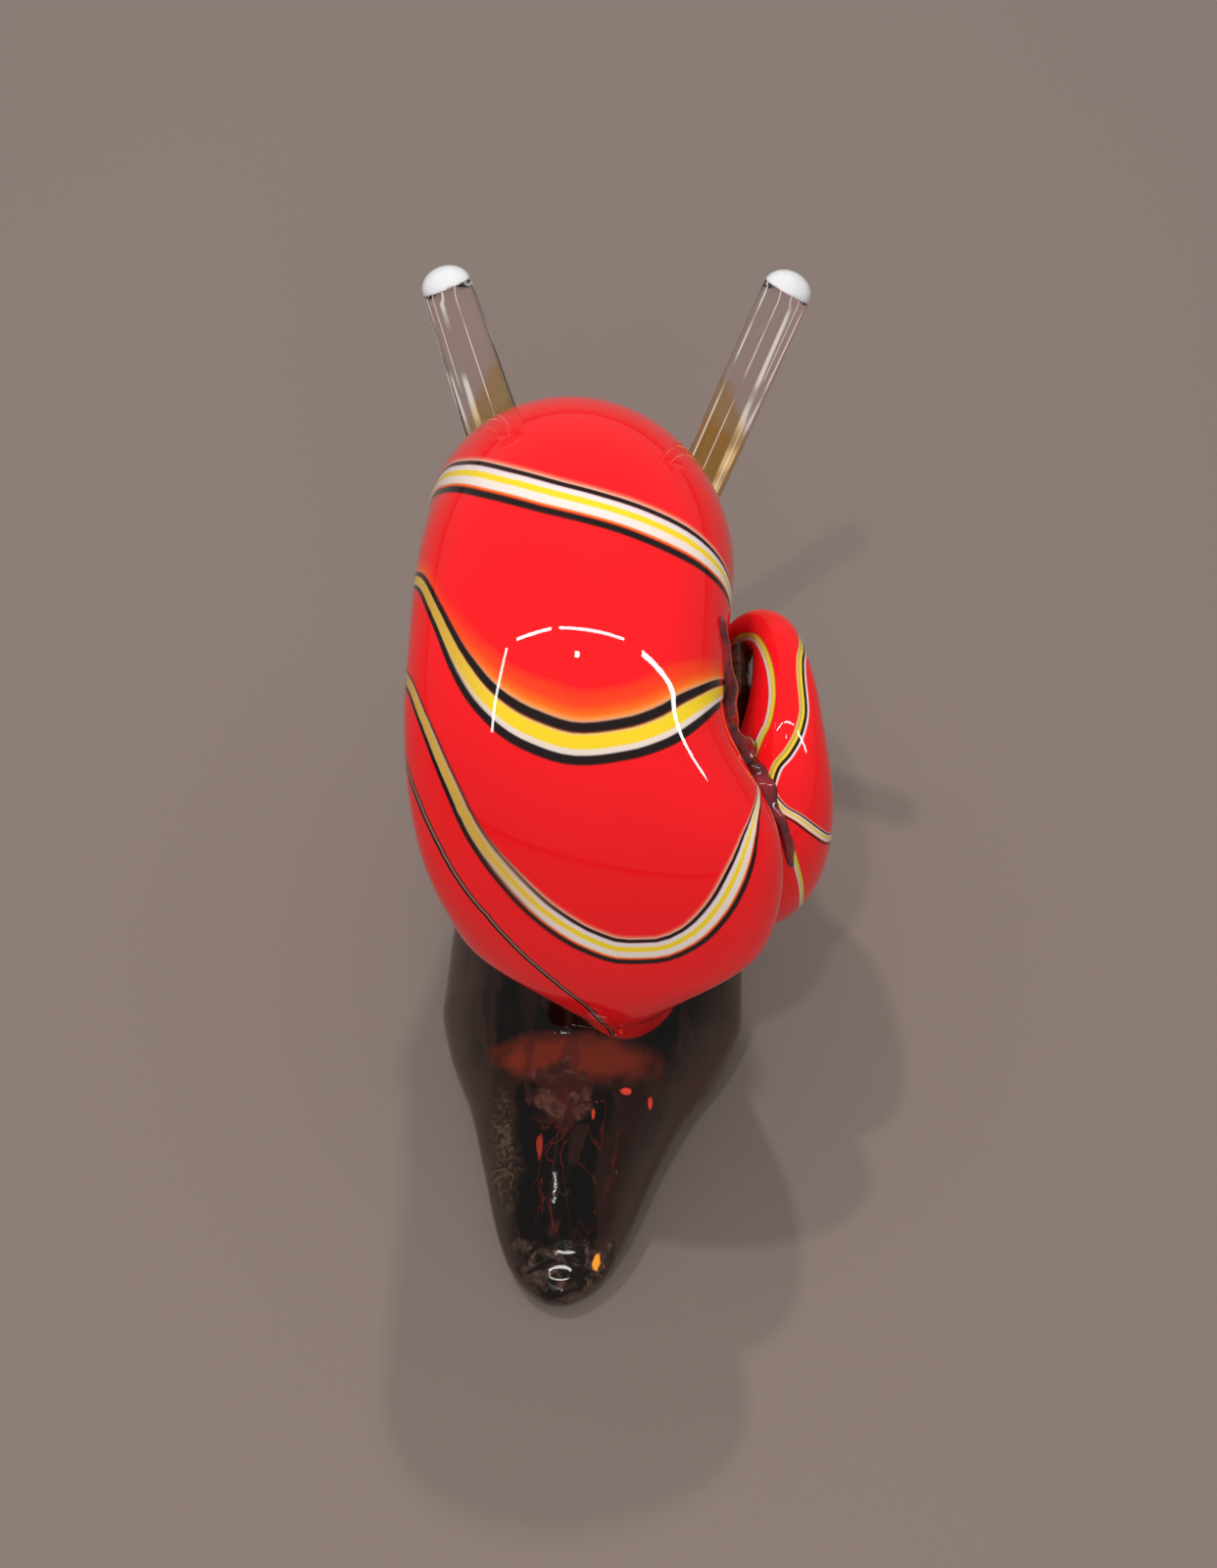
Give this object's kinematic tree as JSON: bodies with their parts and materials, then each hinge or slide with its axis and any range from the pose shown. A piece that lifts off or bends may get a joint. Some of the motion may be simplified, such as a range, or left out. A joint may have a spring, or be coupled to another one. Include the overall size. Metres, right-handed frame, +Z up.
{
  "type": "snail figurine",
  "caption": "Art-glass snail figurine: solid amber body on a flat foot, coiled red blown shell wound with striped canes under clear glass, and clear tentacle rods with white tips",
  "frame": {"origin": "middle of the bounding box in plan, at the flat underside of the foot", "axes": "+X to the snail's right, +Y from tail to head, +Z up"},
  "size_m": [0.081, 0.1704, 0.1398],
  "materials": {
    "amber_glass": "dark amber transparent glass, fire polished",
    "red_glass": "opaque red glass",
    "clear_glass": "clear glass, fire polished",
    "yellow_glass": "opaque yellow glass",
    "white_glass": "opaque white glass",
    "black_glass": "opaque black glass"
  },
  "bodies": {
    "root": {"body": "amber_glass", "shell_bubble": "red_glass", "shell_casing": "clear_glass", "cane_a_yellow": "yellow_glass", "cane_a_white": "white_glass", "cane_a_black": "black_glass", "cane_b_yellow": "yellow_glass", "cane_b_white": "white_glass", "cane_b_black": "black_glass", "tentacle_left": "clear_glass", "tentacle_right": "clear_glass", "tentacle_tip_left": "white_glass", "tentacle_tip_right": "white_glass"}
  },
  "joints": []
}
